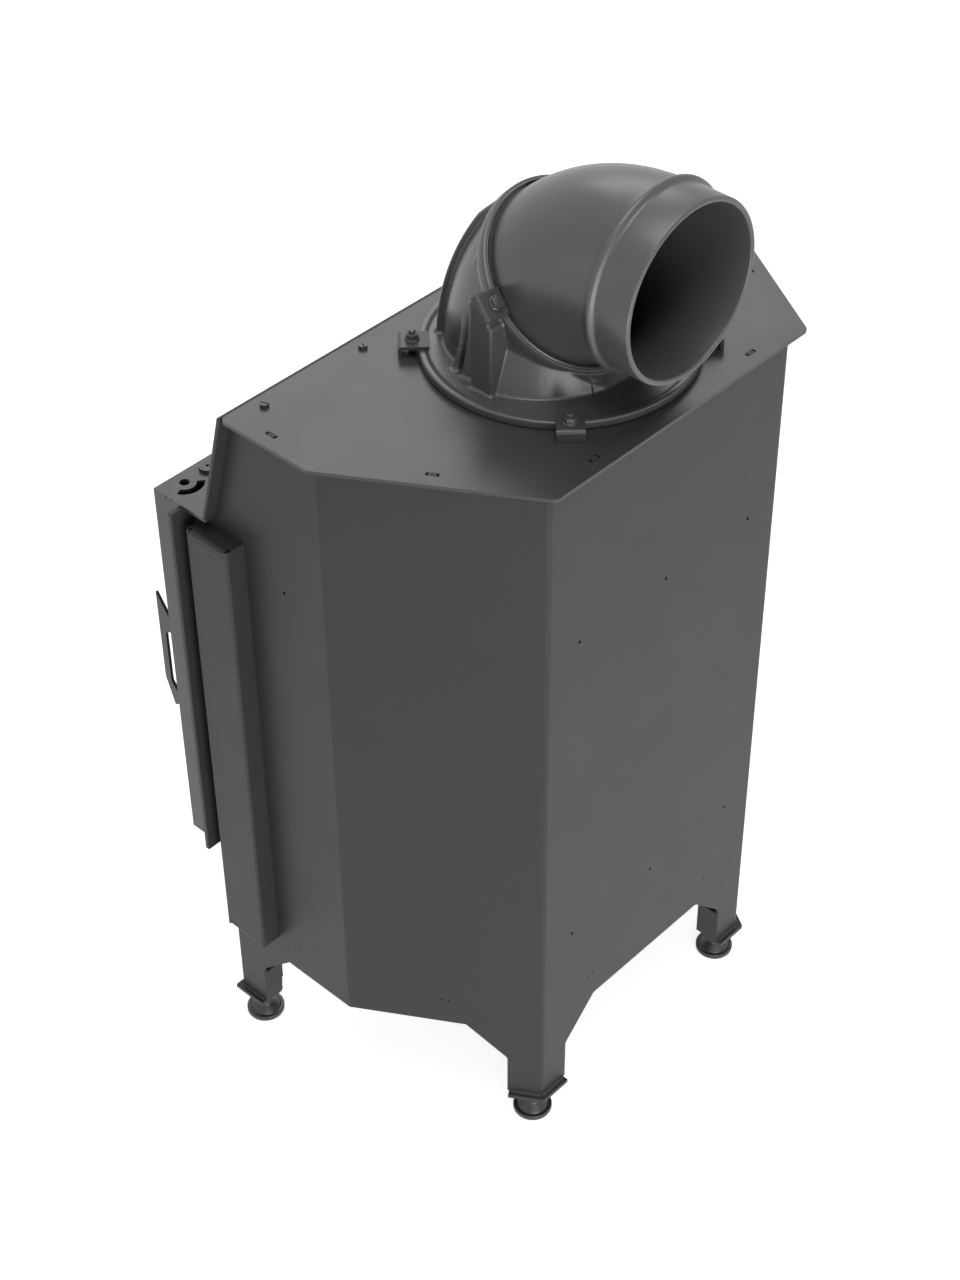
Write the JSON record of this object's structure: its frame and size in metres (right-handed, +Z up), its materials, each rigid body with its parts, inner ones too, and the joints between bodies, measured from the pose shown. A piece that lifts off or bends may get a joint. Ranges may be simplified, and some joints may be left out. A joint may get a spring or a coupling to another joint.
{
  "type": "wood stove insert",
  "caption": "Folded steel fireplace insert with splayed rear, glazed front door, side air ducts, levelling feet and a cast swivel flue elbow.",
  "frame": {"origin": "middle of the outline's footprint, on the floor under the feet", "axes": "+Z up, -Y towards the glazed door, +Y the way the flue collar points, +X to the right seen from the front"},
  "size_m": [0.7, 0.509, 1.2405],
  "materials": {
    "dark_paint": "satin",
    "top_paint": "satin",
    "cast_paint": "satin paint over a fine casting",
    "clamp_paint": "satin",
    "fastener_steel": "dull",
    "zinc_steel": "zinc plated",
    "foot_iron": "satin",
    "grate_iron": "matte",
    "pan_steel": "matte",
    "firebrick": "matte board",
    "seal_rope": "woven",
    "clear_glass": "clear",
    "handle_paint": "satin",
    "knob_black": "satin"
  },
  "bodies": {
    "root": {"body_shell": "dark_paint", "top_plate": "top_paint", "hood_plate": "dark_paint", "face_plate": "dark_paint", "door_frame": "top_paint", "lower_front_panel": "dark_paint", "floor_plate": "dark_paint", "side_duct_left": "dark_paint", "side_duct_right": "dark_paint", "leg_base_front_left": "dark_paint", "leg_base_front_right": "dark_paint", "leg_base_rear_left": "dark_paint", "leg_base_rear_right": "dark_paint", "leg_nuts": "zinc_steel", "hearth_stand": "dark_paint", "hearth_slab": "firebrick", "grate": "grate_iron", "ash_pan": "pan_steel", "brick_back": "firebrick", "brick_angle_left": "firebrick", "brick_angle_right": "firebrick", "brick_side_left": "firebrick", "brick_side_right": "firebrick", "baffle_plate": "firebrick", "baffle_ledges": "dark_paint", "log_guard": "grate_iron", "hood_liner": "dark_paint", "top_screws": "fastener_steel", "slider_guides": "dark_paint", "latch_keeper": "dark_paint", "turret_seal": "seal_rope", "flange_clamps": "clamp_paint", "flange_studs": "fastener_steel", "flange_nuts": "fastener_steel", "hinge_pins": "fastener_steel"},
    "door": {"door_panel": "dark_paint", "door_glass": "clear_glass", "glass_gasket": "seal_rope", "glass_clips": "fastener_steel", "clip_screws": "fastener_steel", "door_rope": "seal_rope", "stop_pin": "fastener_steel"},
    "handle": {"door_handle": "handle_paint", "latch_shaft": "fastener_steel", "latch_claw": "fastener_steel"},
    "air_control": {"air_slider": "dark_paint", "air_knob": "knob_black"},
    "foot_fl": {"foot_front_left": "foot_iron"},
    "foot_fr": {"foot_front_right": "foot_iron"},
    "foot_rl": {"foot_rear_left": "foot_iron"},
    "foot_rr": {"foot_rear_right": "foot_iron"},
    "turret": {"flue_turret": "cast_paint", "swivel_clamps": "clamp_paint", "swivel_bolts": "fastener_steel"},
    "elbow": {"flue_elbow": "cast_paint"}
  },
  "joints": [
    {"name": "door_hinge", "type": "hinge", "parent": "root", "child": "door", "pos_m": [-0.304, -0.1945, 0.5835], "axis": [0, 0, -1], "range_deg": [0, 98]},
    {"name": "handle_turn", "type": "hinge", "parent": "door", "child": "handle", "pos_m": [0.3083, -0.2255, 0.5635], "axis": [0, 0, -1], "range_deg": [0, 22]},
    {"name": "air_slide", "type": "slide", "parent": "root", "child": "air_control", "axis": [1, 0, 0], "range_m": [0, 0.05]},
    {"name": "foot_fl_screw", "type": "slide", "parent": "root", "child": "foot_fl", "axis": [0, 0, -1], "range_m": [0, 0.015]},
    {"name": "foot_fr_screw", "type": "slide", "parent": "root", "child": "foot_fr", "axis": [0, 0, -1], "range_m": [0, 0.015]},
    {"name": "foot_rl_screw", "type": "slide", "parent": "root", "child": "foot_rl", "axis": [0, 0, -1], "range_m": [0, 0.015]},
    {"name": "foot_rr_screw", "type": "slide", "parent": "root", "child": "foot_rr", "axis": [0, 0, -1], "range_m": [0, 0.015]},
    {"name": "turret_swivel", "type": "hinge", "parent": "root", "child": "turret", "pos_m": [0, 0.0805, 0.994], "axis": [0, 0, 1], "continuous": true},
    {"name": "elbow_swivel", "type": "hinge", "parent": "turret", "child": "elbow", "pos_m": [0, 0.09638, 1.09312], "axis": [0, 0.7071, 0.7071], "continuous": true}
  ]
}
